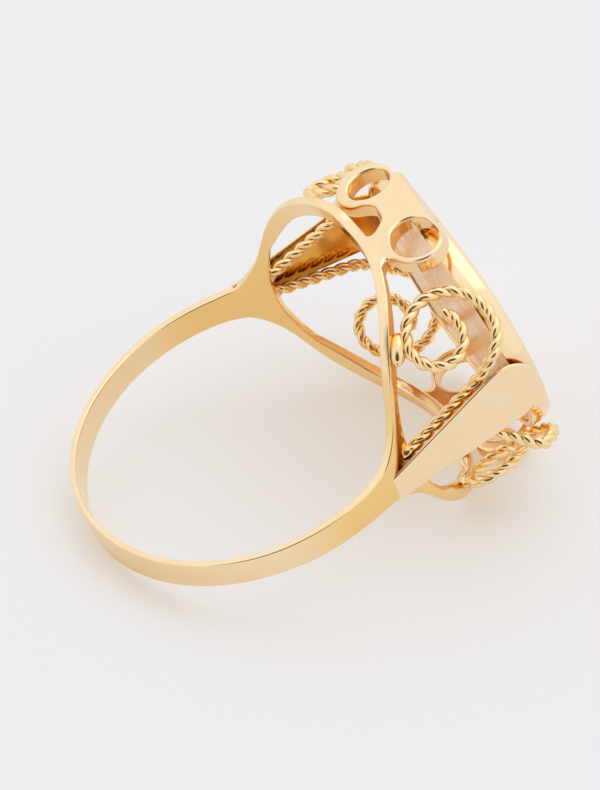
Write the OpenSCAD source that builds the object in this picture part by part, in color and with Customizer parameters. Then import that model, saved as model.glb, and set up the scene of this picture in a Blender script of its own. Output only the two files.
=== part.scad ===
// Gold finger ring with an oval head carried on flat leaves, ram's-horn supports and rope scrolls.
// It lies on its side: the finger hole's axis is tipped a little from upright, because the head is
// wider than the band, and the ring rests on the band's edge and the edge of the lower arm.
// Every piece is first drawn standing: +X across the finger, +Y along the finger, +Z out through
// the head, with the centre of the finger hole at the origin. lay_down() then puts it on the floor.

/* [Finger hole] */
// inner diameter of the ring
bore_d = 18.2; // [14:0.1:23]

/* [Shank] */
// diameter of the shank's outer face
shank_outer_d = 19.06; // [18.8:0.02:24]
// how far the outer face's centre lies above the hole's, so the shank thickens towards the head
shank_rise = 0.13; // [0:0.01:0.4]
// width of the band at the bottom
band_w_bottom = 2.2; // [1:0.1:5]
// width of the band where it is narrowest, at the sides
band_w_side = 1.56; // [1:0.02:5]

/* [Head] */
// length of the oval head across the finger
head_l = 16; // [10:0.5:24]
// width of the oval head along the finger
head_w = 13; // [8:0.5:20]
// how far the centres of the oval's end arcs lie from its middle
head_end_offset = 1.9; // [0.5:0.1:4]
// height of the head's wall
bezel_h = 1.25; // [0.6:0.05:3]
// thickness of the head's wall
bezel_t = 0.35; // [0.2:0.05:1]
// distance from the hole's centre to the lower edge of the head's wall
head_z = 12; // [11:0.1:15]
// thickness of the sheet that closes the head
plate_t = 0.4; // [0.2:0.05:1]
// how far the sheet stands in from the wall's lower edge
plate_inset = 0.1; // [0:0.05:1]

/* [Leaf plates] */
// radius of a leaf's round end
leaf_r = 1.8; // [1:0.05:4]
// width of a leaf at its foot on the shoulder
leaf_foot_w = 1.4; // [0.6:0.1:3]
// how far the left leaf's tip leans to the front of its foot
leaf_cant = 1.05; // [-1.5:0.05:1.5]
// how far the right leaf stands to the front of the middle
leaf_shift = 0.45; // [-1:0.05:1]
// thickness of a leaf
leaf_t = 0.22; // [0.2:0.05:0.8]
// height of a leaf's foot above the hole's centre
leaf_foot_z = 4; // [3:0.1:6]
// height of the right leaf's tip above the hole's centre
leaf_tip_z = 12.9; // [11:0.1:15]
// how much higher the left leaf's tip reaches
leaf_left_rise = 0.3; // [0:0.05:1]

/* [Ram's-horn supports] */
// distance of the supports' front face from the middle of the ring
horn_face_y = 7.65; // [7:0.05:9]
// width of the strip on edge, front to back
horn_w = 1; // [0.6:0.05:2]

/* [Rope scrolls] */
// diameter over both strands of the twisted wire
rope_d = 0.66; // [0.3:0.01:1.2]
// radius of a scroll's inner turn
scroll_small_r = 1.39; // [0.8:0.01:3]
// radius of a scroll's outer turn
scroll_large_r = 2.2; // [1:0.01:4]

/* [Fit] */
// seam left between neighbouring pieces
seam = 0.04; // [0.02:0.01:0.2]

/* [Hidden] */
$fn = 96;

gold = [0.95, 0.82, 0.58];
gold_deep = [0.90, 0.74, 0.48];
gold_satin = [0.90, 0.77, 0.62];

bore_r = bore_d / 2;
shank_r = shank_outer_d / 2;
shank_bottom = shank_r - shank_rise;
head_a = head_l / 2;
head_b = head_w / 2;
rope_r = rope_d / 2;
far = 30;

// Edge of the shank, from the bottom of the band round to the middle of an arm.
// Columns: angle from the bottom, half width along the finger.
SHANK_EDGE = [
    [0, band_w_bottom / 2],
    [35, band_w_side / 2 + 0.09],
    [65, band_w_side / 2],
    [85, band_w_side / 2 + 0.03],
    [95, band_w_side / 2 + 0.05],
    [102, 0.86],
    [109, 0.94],
    [116, 1.24],
    [124, 2.5],
    [134, 5.1],
    [146, 6.7],
    [162, 7.4],
    [180, 7.46]
];

// Edge of the window between the arms, from the crotch on the shoulder to the middle of an arm.
// Columns: angle from the bottom, half width along the finger.
WINDOW_EDGE = [
    [126, 0.1],
    [127, 1.5],
    [130, 2.9],
    [134, 3.9],
    [147, 5.75],
    [162, 6.55],
    [180, 6.42]
];
edge_steps = 4;

// The curls of a horn support, as ellipses in the plane across the finger. A curl's hole lies off
// the middle of its strip where the strip thickens.
// Columns: across the finger, height, half width, half height.
CURLS = [
    [2.85, 11.2, 1.36, 1.58],
    [-2.4, 11.45, 1.8, 1.5]
];
CURL_HOLES = [
    [2.66, 11.4, 0.93, 1.13],
    [-2.4, 11.45, 1.42, 1.2]
];
// The stem that stands on the arm and carries both curls.
// Columns: across the finger, height.
HORN_STEM = [
    [-1.4, 12.7],
    [-2.4, 10.5],
    [-2.05, 9],
    [-0.35, 9],
    [-0.38, 10.1],
    [0.02, 10.8],
    [1.9, 10.7],
    [2.3, 12.7]
];
// Radii between which the cutting solids reach right through the shank's wall.
cutter_inner_r = 8;
cutter_outer_r = 11;

// Point on a curve that passes through all rows of a table, between rows i and i + 1.
function row_at(table, i) = table[max(0, min(len(table) - 1, i))];
function curve_point(table, i, t) =
    let (a = row_at(table, i - 1), b = row_at(table, i), c = row_at(table, i + 1), d = row_at(table, i + 2))
    0.5 * (2 * b + (c - a) * t + (2 * a - 5 * b + 4 * c - d) * t * t
    + (3 * b - a - 3 * c + d) * t * t * t);
function curve_through(table, steps) = concat(
    [for (i = [0 : len(table) - 2]) for (k = [0 : steps - 1]) curve_point(table, i, k / steps)],
    [table[len(table) - 1]]);

function reversed(list) = [for (i = [len(list) - 1 : -1 : 0]) list[i]];

// An edge's rows carried on past the middle of the arms and down the other side.
function both_sides(rows) =
    concat(rows, [for (row = reversed(rows)) if (row[0] > 0.001 && row[0] < 179.999) [360 - row[0], row[1]]]);

// Four-centre oval: two end arcs and two side arcs that meet smoothly.
function oval_side_offset(a, b, c) = (c * c - pow(b - a + c, 2)) / (2 * (b - a + c));
function oval_joint(a, b, c) =
    let (s = oval_side_offset(a, b, c), e = a - c)
    [c + e * c / sqrt(c * c + s * s), e * s / sqrt(c * c + s * s)];

// Resting tilt: the ring leans until the lower arm's inner edge is as low as the band's edge.
shank_edge = curve_through(SHANK_EDGE, edge_steps);
window_edge = curve_through(WINDOW_EDGE, edge_steps);
rest_tilt = max([for (row = shank_edge) if (row[0] > 90)
    atan2(row[1] - band_w_bottom / 2, shank_bottom - bore_r * cos(row[0]))]);
rest_drop = band_w_bottom / 2 * cos(rest_tilt) + shank_bottom * sin(rest_tilt);
rim_reach = (head_z + bezel_h) * cos(rest_tilt) + head_b * sin(rest_tilt);
curl_top = max([for (curl = CURLS) curl[1] + curl[3]]);
curl_reach = curl_top * cos(rest_tilt) + horn_face_y * sin(rest_tilt);
front_reach = max(rim_reach, curl_reach);
back_reach = shank_bottom * cos(rest_tilt) + band_w_bottom / 2 * sin(rest_tilt);

// The scroll's plane: level direction, rising direction and outward direction.
function scroll_out(place) =
    [-sin(place[5]) * cos(place[4]), cos(place[5]) * cos(place[4]), sin(place[4])];
function scroll_up(place) =
    [sin(place[5]) * sin(place[4]), -cos(place[5]) * sin(place[4]), cos(place[4])];
function scroll_level(place) = cross(scroll_up(place), scroll_out(place));
scroll_centre = [-6.87, 5.08, 9.42];
scroll_start_angle = 131;
scroll_join_angle = -110;
scroll_leave_angle = -321;
// Where the rope comes to lie behind the leaf's edge, and where it ends above the leaf's foot.
leaf_top = [-7.62, 1.6, 9.46];
leaf_end = [-7.88, 0.6, 5.9];
lead_pull_start = 0.5;
lead_pull_end = 0.9;

// The scrolls are bent by hand: how each one's centre lies from the front left one's, and its form.
// Columns: out sideways, out along the finger, up towards the head, size of the turns, lean of the
// plane back from the upright, turn of the plane about the upright from facing along the finger,
// how far its leaf stands out along the finger.
SCROLL_FRONT_LEFT = [-0.1, 0, 0, 1.03, 8, 37.4, 0];
SCROLL_FRONT_RIGHT = [0.1, -0.1, 0.88, 0.78, 8, 31, leaf_shift];
SCROLL_BACK_LEFT = [-0.05, -0.4, 0.1, 1.1, 2, 33, 0];
SCROLL_BACK_RIGHT = [-0.15, 0.1, 0.34, 1, 8, 37.4, -leaf_shift];

rope_sides = 8;
small_turn_steps = 14;
large_turn_steps = 18;
lead_steps = 11;
leaf_run_steps = 6;

function unit(v) = v / norm(v);
function on_scroll(p, place) = p[0] * scroll_level(place) + p[1] * scroll_up(place);
function small_turn(angle) = scroll_small_r * [cos(angle), sin(angle)];
function large_turn(angle) =
    (scroll_small_r - scroll_large_r) * [cos(scroll_join_angle), sin(scroll_join_angle)]
    + scroll_large_r * [cos(angle), sin(angle)];
function hermite(p, v, q, w, t) =
    (2 * pow(t, 3) - 3 * t * t + 1) * p + (pow(t, 3) - 2 * t * t + t) * v
    + (3 * t * t - 2 * pow(t, 3)) * q + (pow(t, 3) - t * t) * w;

// The rope's route from its free end, round the inner and the outer turn, and down behind the leaf.
function scroll_route(place) =
    let (
        moved = scroll_centre + [-place[0], place[1], place[2]],
        size = place[3],
        top = leaf_top + [0, place[6], 0],
        end = leaf_end + [0, place[6], 0],
        lead_start = moved + size * on_scroll(large_turn(scroll_leave_angle), place),
        lead_direction = on_scroll([sin(scroll_leave_angle), -cos(scroll_leave_angle)], place),
        lead_length = norm(top - lead_start),
        down_leaf = unit(end - top))
    concat(
        [for (k = [0 : small_turn_steps - 1])
            moved + size * on_scroll(small_turn(scroll_start_angle
                + (scroll_join_angle - scroll_start_angle) * k / small_turn_steps), place)],
        [for (k = [0 : large_turn_steps - 1])
            moved + size * on_scroll(large_turn(scroll_join_angle
                + (scroll_leave_angle - scroll_join_angle) * k / large_turn_steps), place)],
        [for (k = [0 : lead_steps - 1])
            hermite(lead_start, lead_direction * lead_length * lead_pull_start,
                    top, down_leaf * lead_length * lead_pull_end, k / lead_steps)],
        [for (k = [0 : leaf_run_steps])
            top + (end - top) * k / leaf_run_steps]);

// Stands a piece drawn upright on its side, lowest point on the floor and centred over the origin.
module lay_down() {
    translate([0, (front_reach - back_reach) / 2, rest_drop])
        rotate([90 - rest_tilt, 0, 0])
            children();
}

// A cylinder whose axis runs along the finger.
module along_finger(r, length, z = 0) {
    translate([0, 0, z])
        rotate([90, 0, 0])
            cylinder(r = r, h = length, center = true);
}

// A closed oval column, from height z0 upwards.
module oval_column(a, b, c, z0, h) {
    side = oval_side_offset(a, b, c);
    joint = oval_joint(a, b, c);
    intersection() {
        translate([0, -side, z0])
            cylinder(r = b + side, h = h);
        translate([0, side, z0])
            cylinder(r = b + side, h = h);
        translate([-joint[0], -far / 2, z0])
            cube([2 * joint[0], far, h]);
    }
    for (end = [-1, 1])
        translate([end * c, 0, z0])
            cylinder(r = a - c, h = h);
}

// A solid swept round the finger hole, whose side edges are the rows' half widths and run radially.
module round_sweep(rows, closed) {
    count = len(rows);
    corners = [for (row = rows)
        for (corner = [[cutter_inner_r, -1], [cutter_inner_r, 1], [cutter_outer_r, 1], [cutter_outer_r, -1]])
            [corner[0] * sin(row[0]), corner[1] * row[1], -corner[0] * cos(row[0])]];
    walls = [for (i = [0 : count - (closed ? 1 : 2)]) for (k = [0 : 3])
        let (a = 4 * i + k, b = 4 * i + (k + 1) % 4, next = (4 * (i + 1)) % (4 * count) - 4 * i)
        for (face = [[a, b, b + next], [a, b + next, a + next]]) face];
    polyhedron(
        points = corners,
        faces = concat(walls, closed ? [] : [[3, 2, 1, 0], [for (k = [0 : 3]) 4 * (count - 1) + k]]));
}

module shank() {
    color(gold)
        difference() {
            intersection() {
                along_finger(shank_r, far, shank_rise);
                round_sweep(both_sides(shank_edge), true);
            }
            along_finger(bore_r, far);
            round_sweep(both_sides(window_edge), false);
        }
}

module bezel() {
    color(gold)
        difference() {
            oval_column(head_a, head_b, head_end_offset, head_z, bezel_h);
            oval_column(head_a - bezel_t, head_b - bezel_t, head_end_offset, head_z - 1, bezel_h + 2);
        }
}

module back_plate() {
    inset = bezel_t + seam;
    color(gold_satin)
        oval_column(head_a - inset, head_b - inset, head_end_offset, head_z + plate_inset, plate_t);
}

// side is 1 on the right shoulder and -1 on the left.
module leaf(side) {
    outer_x_foot = shank_r * sqrt(1 - pow((leaf_foot_z - shank_rise) / shank_r, 2));
    inner_x_tip = head_a + seam;
    height = leaf_tip_z - leaf_foot_z + (side < 0 ? leaf_left_rise : 0);
    lean = atan2(outer_x_foot - inner_x_tip - leaf_t, height);
    cant = side < 0 ? leaf_cant : 0;
    shift = side < 0 ? 0 : leaf_shift;
    centre_z = height - leaf_r;
    foot = [leaf_foot_w / 2, 0];
    reach = norm([foot[0], centre_z]);
    tangent_angle = acos(leaf_r / reach) - atan2(centre_z, foot[0]);
    tangent = [leaf_r * cos(tangent_angle), centre_z + leaf_r * sin(tangent_angle)];
    color(gold)
        difference() {
            on_side_x(side)
                translate([outer_x_foot, shift - cant / 2, leaf_foot_z])
                    rotate([-atan2(cant, centre_z), -lean, 0])
                        translate([-leaf_t, 0, 0])
                            rotate([90, 0, 90]) {
                                linear_extrude(leaf_t)
                                    polygon([[-foot[0], 0], foot, tangent, [0, centre_z + leaf_r / 2],
                                             [-tangent[0], tangent[1]]]);
                                translate([0, centre_z, 0])
                                    cylinder(r = leaf_r, h = leaf_t);
                            }
            along_finger(shank_r + seam, far, shank_rise);
        }
}

module on_side_x(side) {
    if (side > 0)
        children();
    else
        mirror([1, 0, 0])
            children();
}

module on_side_y(side) {
    if (side > 0)
        children();
    else
        mirror([0, 1, 0])
            children();
}

// An ellipse given by one row of a table of curls.
module ellipse(row) {
    translate([row[0], row[1]])
        scale([row[2], row[3]])
            circle(r = 1);
}

// side is 1 on the front arm and -1 on the back one, which is turned half round about the upright.
module horn(side) {
    color(gold)
        rotate([0, 0, side > 0 ? 0 : 180])
            difference() {
                translate([0, horn_face_y, 0])
                    rotate([90, 0, 0])
                        linear_extrude(horn_w)
                            difference() {
                                union() {
                                    for (curl = CURLS)
                                        ellipse(curl);
                                    polygon(HORN_STEM);
                                }
                                for (hole = CURL_HOLES)
                                    ellipse(hole);
                            }
                along_finger(shank_r + seam, far, shank_rise);
                oval_column(head_a + seam, head_b + seam, head_end_offset, head_z - seam, bezel_h + 1);
            }
}

// A tube of the rope's outer diameter, swept along the scroll's route.
module rope_tube(route, outward) {
    last = len(route) - 1;
    sections = [for (i = [0 : last])
        let (along = unit(route[min(last, i + 1)] - route[max(0, i - 1)]),
             aside = unit(outward - (outward * along) * along),
             across = cross(along, aside))
        for (k = [0 : rope_sides - 1])
            let (angle = 360 * k / rope_sides)
            route[i] + rope_r * (cos(angle) * aside + sin(angle) * across)];
    walls = [for (i = [0 : last - 1]) for (k = [0 : rope_sides - 1])
        let (a = i * rope_sides + k, b = i * rope_sides + (k + 1) % rope_sides)
        [a, b, b + rope_sides, a + rope_sides]];
    polyhedron(
        points = sections,
        faces = concat(walls,
                       [[for (k = [rope_sides - 1 : -1 : 0]) k]],
                       [[for (k = [0 : rope_sides - 1]) last * rope_sides + k]]));
}

// side_x is 1 for the right shoulder, side_y is 1 for the front arm.
module scroll(side_x, side_y, place) {
    color(gold_deep)
        on_side_x(-side_x)
            on_side_y(side_y)
                rope_tube(scroll_route(place), scroll_out(place));
}

lay_down() shank();
lay_down() leaf(-1);  // leaf_left
lay_down() leaf(1);  // leaf_right
lay_down() horn(1);  // horn_front
lay_down() horn(-1);  // horn_back
lay_down() bezel();
lay_down() back_plate();
lay_down() scroll(-1, 1, SCROLL_FRONT_LEFT);  // scroll_front_left
lay_down() scroll(1, 1, SCROLL_FRONT_RIGHT);  // scroll_front_right
lay_down() scroll(-1, -1, SCROLL_BACK_LEFT);  // scroll_back_left
lay_down() scroll(1, -1, SCROLL_BACK_RIGHT);  // scroll_back_right
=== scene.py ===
"""Looks of a yellow gold finger ring that lies on its side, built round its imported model.

Every shape is worked out standing, in millimetres: X across the finger, Y along it and Z out
through the head, with the centre of the finger hole at the origin. Rest.place() then lays the
points down as the ring rests, in metres.
"""

import logging
import math
from dataclasses import dataclass, field
from enum import Enum

import bmesh
import bpy
import numpy as np
from mathutils import Matrix

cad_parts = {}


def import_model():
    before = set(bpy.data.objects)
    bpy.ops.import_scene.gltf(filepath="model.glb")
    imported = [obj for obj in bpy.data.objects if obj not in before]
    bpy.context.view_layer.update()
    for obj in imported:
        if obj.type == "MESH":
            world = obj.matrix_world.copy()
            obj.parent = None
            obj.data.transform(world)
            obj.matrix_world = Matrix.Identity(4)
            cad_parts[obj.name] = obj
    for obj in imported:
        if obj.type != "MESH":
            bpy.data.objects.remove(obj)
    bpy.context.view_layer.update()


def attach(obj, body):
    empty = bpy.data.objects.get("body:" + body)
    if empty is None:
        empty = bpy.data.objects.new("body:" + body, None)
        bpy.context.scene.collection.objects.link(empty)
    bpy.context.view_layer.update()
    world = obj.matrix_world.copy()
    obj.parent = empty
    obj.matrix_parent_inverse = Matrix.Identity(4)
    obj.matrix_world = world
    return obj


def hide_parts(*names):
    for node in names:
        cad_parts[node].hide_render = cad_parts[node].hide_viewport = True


LOG = logging.getLogger("gold_ring")
MM = 0.001

# Angles round a tube's domed end, from its pole out, and the dome's length over its radius.
DOME_DEG = (90, 72, 54, 36, 18)
DOME_LENGTH = 0.6
# Points over a plate's rounded edge, and how its rings crowd towards that edge.
PLATE_EDGE_POINTS = 5
PLATE_CROWDING = 1.6
# Points nearer than this are one point, and edges shorter than this are dropped.
WELD_MM = 0.0015
SLIVER_MM = 0.0005
# The angle round the ring, from the bottom of the band, at which its upper half begins, and the
# points between two rows of the shank's edge from which the lean is found.
SIDE_DEG = 90.0
LEAN_STEPS = 4
# A mix of two colours has them on inputs 6 and 7, and its result on this output.
MIXED = 2


class Slot(Enum):
    """The record's material slots."""

    POLISHED = "gold_polished"
    HORN = "gold_horn"
    SATIN = "gold_satin"
    ROPE = "gold_rope"


class Side(Enum):
    """Which shoulder, by the sign of X, or which arm, by the sign of Y."""

    LEFT = -1
    RIGHT = 1


# Curves and grids


def unit(v: np.ndarray) -> np.ndarray:
    """Vectors along the last axis, each divided by its length."""
    return v / np.maximum(np.linalg.norm(v, axis=-1, keepdims=True), 1e-12)


def curve_through(table: np.ndarray, steps: int) -> np.ndarray:
    """Catmull-Rom curve through a table's rows.

    Between rows b and c, with neighbours a and d, the point at t is half of
    2b + (c - a)t + (2a - 5b + 4c - d)t^2 + (3b - a - 3c + d)t^3.

    Args:
        table: The rows, one point each.
        steps: Points per interval.

    Returns:
        The curve's points, the last row included.
    """
    rows = np.vstack([table[:1], table, table[-1:]])
    a, b, c, d = (rows[i : len(rows) - 3 + i, None] for i in range(4))
    t = (np.arange(steps) / steps)[None, :, None]
    points = 0.5 * (2 * b + (c - a) * t + (2 * a - 5 * b + 4 * c - d) * t**2 + (3 * b - a - 3 * c + d) * t**3)
    return np.vstack([points.reshape(-1, table.shape[1]), table[-1:]])


def resample(points: np.ndarray, count: int) -> np.ndarray:
    """Points spaced evenly by length along an open polyline.

    Args:
        points: The polyline.
        count: How many points to return.

    Returns:
        count points, both ends included.
    """
    length = np.concatenate([[0], np.cumsum(np.linalg.norm(np.diff(points, axis=0), axis=1))])
    at = np.linspace(0, length[-1], count)
    return np.stack([np.interp(at, length, points[:, k]) for k in range(points.shape[1])], -1)


def rounded_profile(width: float, height: float, radius: float, sides: int = 5) -> np.ndarray:
    """Rectangle with quarter-circle corners and a support point beside each.

    The corner centred at (cx, cy) gives (cx + r cos t, cy + r sin t) over a quarter turn of t. A
    side that is longer than three steps of a corner is cut in three.

    Args:
        width: Extent along the first axis, from 0.
        height: Extent along the second axis, from 0.
        radius: Corner radius.
        sides: Points per corner.

    Returns:
        The closed profile, anticlockwise, without a repeated end point.
    """
    corners = [(width - radius, radius, -90), (width - radius, height - radius, 0),
               (radius, height - radius, 90), (radius, radius, 180)]
    arcs = []
    for cx, cy, start in corners:
        t = np.radians(start + np.linspace(0, 90, sides))
        arcs.append(np.stack([cx + radius * np.cos(t), cy + radius * np.sin(t)], -1))
    loop = np.vstack(arcs)
    long = 3 * radius / sides
    return np.vstack([np.linspace(p, q, 4)[:-1] if np.linalg.norm(q - p) > long else p[None]
                      for p, q in zip(loop, np.roll(loop, -1, 0))])


@dataclass
class Surface:
    """Grid of points that becomes quads, closed round either parameter if wanted.

    Attributes:
        points: The grid's points, by row and column.
        wrap_rows: Whether the last row joins the first.
        wrap_cols: Whether the last column joins the first.
    """

    points: np.ndarray
    wrap_rows: bool = False
    wrap_cols: bool = False

    def quads(self, first: int) -> np.ndarray:
        """The grid's quads as vertex numbers.

        Args:
            first: Number of the grid's first vertex.

        Returns:
            Four vertex numbers for each quad.
        """
        rows, cols = self.points.shape[:2]
        r = np.arange(rows if self.wrap_rows else rows - 1)[:, None]
        c = np.arange(cols if self.wrap_cols else cols - 1)[None, :]
        r1, c1 = (r + 1) % rows, (c + 1) % cols
        corners = np.stack([r * cols + c, r * cols + c1, r1 * cols + c1, r1 * cols + c], -1)
        return first + corners.reshape(-1, 4)


def frames_along(path: np.ndarray, start: np.ndarray) -> tuple[np.ndarray, np.ndarray, np.ndarray]:
    """Tangent and two normals at each point of a path, turned as little as possible.

    The first normal at each step is the last one less its part along the new tangent.

    Args:
        path: Points of the path.
        start: Direction that the first normal starts near.

    Returns:
        Tangents, first normals and second normals, with tangent = first x second.
    """
    tangent = unit(np.gradient(path, axis=0))
    first = np.empty_like(path)
    last = start
    for i, t in enumerate(tangent):
        last = last - t * (last @ t)
        last = last / np.linalg.norm(last)
        first[i] = last
    return tangent, first, np.cross(tangent, first)


def tube(path: np.ndarray, radius: np.ndarray, sides: int, start: np.ndarray) -> Surface:
    """Round tube along a path, its ends closed by domes.

    A point is path + radius (cos a first + sin a second); at each end the radius falls to
    nothing on a quarter ellipse while the point moves out along the tangent.

    Args:
        path: Points of the centre line.
        radius: Radius at each point.
        sides: Points round the tube.
        start: Direction near which the first normal starts.

    Returns:
        The closed surface.
    """
    tangent, first, second = frames_along(path, start)
    a = np.linspace(0, 2 * np.pi, sides, endpoint=False)[None, :, None]
    ring = np.cos(a) * first[:, None] + np.sin(a) * second[:, None]
    body = path[:, None] + radius[:, None, None] * ring
    dome = np.radians(DOME_DEG)
    caps = []
    for end, sign in ((0, -1), (-1, 1)):
        r, out = radius[end] * np.cos(dome), sign * DOME_LENGTH * radius[end] * np.sin(dome)
        caps.append(path[end] + out[:, None, None] * tangent[end] + r[:, None, None] * ring[end])
    return Surface(np.concatenate([caps[0], body, caps[1][::-1]]), wrap_cols=True)


def plate(outline: np.ndarray, thickness: float, fillet: float, rings: int, crown: float = 0.0) -> np.ndarray:
    """Flat plate with rounded edges and faces that swell by crown in the middle.

    Each ring is the outline moved in by d along its own normal and set at height h; the two
    faces go on to the middle by scaling about the outline's centre.

    Args:
        outline: Closed outline in the plate's plane, anticlockwise.
        thickness: Height of the plate, from 0.
        fillet: Radius of the edge.
        rings: Rings from the edge to the middle of a face.
        crown: Swell of each face in the middle.

    Returns:
        Points (ring, place on outline, 3) from the middle of the lower face to that of the upper.
    """
    along = np.roll(outline, -1, 0) - np.roll(outline, 1, 0)
    normal = unit(np.stack([along[:, 1], -along[:, 0]], -1))
    turn = np.radians(np.linspace(-90, 0, PLATE_EDGE_POINTS))
    inset, height = fillet * (1 - np.cos(turn)), fillet * (1 + np.sin(turn))
    inset = np.concatenate([inset, inset[::-1]])
    height = np.concatenate([height, thickness - height[::-1]])
    edge = outline[None] - inset[:, None, None] * normal[None]
    edge = np.concatenate([edge, np.broadcast_to(height[:, None, None], edge.shape[:2] + (1,))], -1)
    centre = outline.mean(0)
    scale = 1 - np.linspace(1, 0, rings, endpoint=False)
    scale = np.sort(1 - (1 - scale) ** PLATE_CROWDING)
    faces = []
    for base, z, sign in ((edge[0, :, :2], 0.0, -1), (edge[-1, :, :2], thickness, 1)):
        flat = centre + (base - centre)[None] * scale[:, None, None]
        rise = z + sign * crown * (1 - scale**2)
        faces.append(np.concatenate([flat, np.broadcast_to(rise[:, None, None], flat.shape[:2] + (1,))], -1))
    return np.concatenate([faces[0], edge, faces[1][::-1]])


# Pieces of metal as fields


def net_surface(values: np.ndarray, low: np.ndarray, step: float) -> tuple[np.ndarray, np.ndarray]:
    """Surface where a field on a regular grid is zero, one vertex in each cell that it crosses.

    A cell's vertex is the mean of the points where the field changes sign on its twelve edges,
    each found by straight interpolation; a quad joins the four cells round each crossed edge.

    Args:
        values: The field at the grid's points, below zero inside.
        low: The grid's first point.
        step: The grid's spacing.

    Returns:
        Vertices and quads.
    """
    shape = np.array(values.shape) - 1
    total, hits = np.zeros((*shape, 3)), np.zeros(shape)
    for axis in range(3):
        others = [k for k in range(3) if k != axis]
        for s in (0, 1):
            for t in (0, 1):
                offset = np.zeros(3, int)
                offset[others[0]], offset[others[1]] = s, t
                end = offset.copy()
                end[axis] = 1
                a = values[tuple(slice(o, o + n) for o, n in zip(offset, shape))]
                b = values[tuple(slice(o, o + n) for o, n in zip(end, shape))]
                cross = (a < 0) != (b < 0)
                share = np.where(cross, a / np.where(cross, a - b, 1), 0)
                hits += cross
                for k in range(3):
                    total[..., k] += cross * (share if k == axis else float(offset[k]))
    active = hits > 0
    number = np.full(shape, -1)
    number[active] = np.arange(active.sum())
    cells = np.argwhere(active)
    vertices = low + step * (cells + total[active] / hits[active][:, None])
    quads = []
    for axis in range(3):
        b, c = (axis + 1) % 3, (axis + 2) % 3
        core = [slice(1, n) for n in shape]
        core[axis] = slice(0, shape[axis])
        ahead = list(core)
        ahead[axis] = slice(1, shape[axis] + 1)
        inside, beyond = values[tuple(core)] < 0, values[tuple(ahead)] < 0
        at = np.argwhere(inside != beyond) + [0 if k == axis else 1 for k in range(3)]
        flip = inside[inside != beyond]
        ring = []
        for s, t in ((0, 0), (1, 0), (1, 1), (0, 1)):
            cell = at.copy()
            cell[:, b] -= s
            cell[:, c] -= t
            ring.append(number[tuple(cell.T)])
        quad = np.stack(ring, -1)
        quads.append(np.where(flip[:, None], quad, quad[:, ::-1]))
    return vertices, np.concatenate(quads)


def smooth_min(a: np.ndarray, b: np.ndarray, radius: float) -> np.ndarray:
    """Union of two fields with a fillet: the lower less (radius - |a - b|)^2 / 4 radius if near."""
    near = np.maximum(radius - np.abs(a - b), 0)
    return np.minimum(a, b) - near**2 / (4 * radius)


def smooth_max(a: np.ndarray, b: np.ndarray, radius: float) -> np.ndarray:
    """Intersection of two fields with a rounded edge, the mirror of smooth_min."""
    return -smooth_min(-a, -b, radius)


def polygon_field(p: np.ndarray, q: np.ndarray, corners: np.ndarray) -> np.ndarray:
    """Signed distance in the plane to a closed polygon, below zero inside.

    Args:
        p: First coordinate of the places.
        q: Second coordinate of the places.
        corners: The polygon's corners.

    Returns:
        The distance to the nearest edge, with its sign from how often a level ray crosses.
    """
    best, inside = np.full(p.shape, 1e9), np.zeros(p.shape, bool)
    for (x0, y0), (x1, y1) in zip(corners, np.roll(corners, -1, 0)):
        dx, dy = x1 - x0, y1 - y0
        t = np.clip(((p - x0) * dx + (q - y0) * dy) / (dx * dx + dy * dy), 0, 1)
        best = np.minimum(best, (p - x0 - t * dx) ** 2 + (q - y0 - t * dy) ** 2)
        if dy:
            inside ^= ((y0 > q) != (y1 > q)) & (p < x0 + (q - y0) * dx / dy)
    return np.where(inside, -1, 1) * np.sqrt(best)


# How the ring stands and lies


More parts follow.
